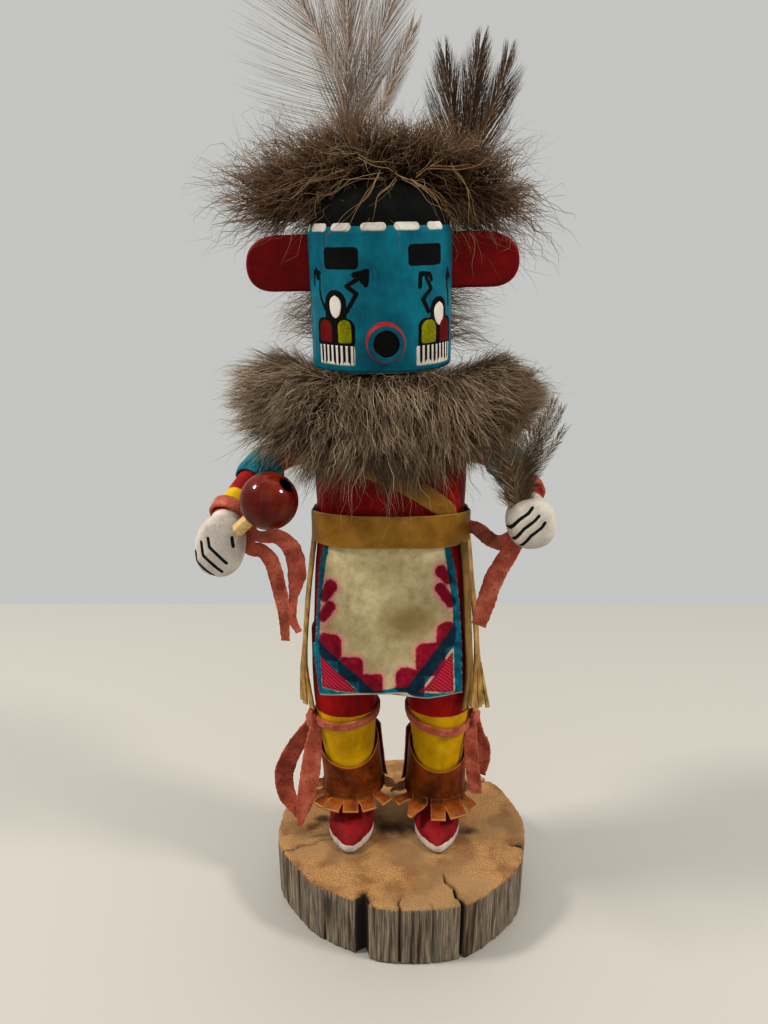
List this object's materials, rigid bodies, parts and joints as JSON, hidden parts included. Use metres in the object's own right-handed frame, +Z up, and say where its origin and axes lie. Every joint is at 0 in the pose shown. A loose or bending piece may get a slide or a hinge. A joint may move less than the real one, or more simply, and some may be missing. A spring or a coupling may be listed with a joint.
{
  "type": "kachina doll",
  "caption": "Carved, painted standing doll in a cylindrical mask with side ears, fur collar, feather crest, leather dress and a rattle, on a slice of branch.",
  "frame": {"origin": "centre of the branch slice's flat underside, on the surface that the doll stands on", "axes": "+Z up, the doll faces -Y, the doll's right hand is on the -X side"},
  "size_m": [0.1096, 0.0856, 0.2906],
  "materials": {
    "branch_wood": "dry sawn end grain on top, weathered grey-brown sides with drying cracks",
    "painted_wood_red": "matt red poster paint over carved root wood, yellow bands below the knees",
    "painted_wood_teal": "satin teal paint with a black crown and painted emblems",
    "painted_wood_white": "matt white hands with black lines, red and yellow arms",
    "turquoise_suede": "fuzzy dyed suede",
    "coral_suede": "dyed suede lace",
    "boot_leather": "smooth brown leather with a lighter cut edge",
    "tan_leather": "soft gold-tan leather",
    "painted_chamois": "cream chamois with felt-pen border and motifs",
    "varnished_bead": "turned wood, glossy red-brown varnish",
    "dowel_wood": "bare pale dowel",
    "grey_feather": "grey-brown feather, matt",
    "rabbit_fur": "long taupe fur",
    "brown_down": "dark brown down and hackles"
  },
  "bodies": {
    "root": {"base": "branch_wood", "body": "painted_wood_red", "head": "painted_wood_teal", "snout": "painted_wood_teal", "ear_right": "painted_wood_red", "ear_left": "painted_wood_red", "arm_right": "painted_wood_white", "arm_left": "painted_wood_white", "armband_right": "turquoise_suede", "armband_left": "turquoise_suede", "wrist_tie_right": "coral_suede", "wrist_tie_left": "coral_suede", "garter_right": "coral_suede", "garter_left": "coral_suede", "boot_right": "boot_leather", "boot_left": "boot_leather", "belt": "tan_leather", "bandolier": "tan_leather", "apron": "painted_chamois", "sash_right": "tan_leather", "sash_left_front": "tan_leather", "sash_left_back": "tan_leather", "rattle_bead": "varnished_bead", "rattle_stick": "dowel_wood", "hand_feathers": "grey_feather", "fur_ruff": "rabbit_fur", "crest_down": "brown_down", "crest_fan_feather": "grey_feather", "crest_tuft_feather": "brown_down"}
  },
  "joints": []
}
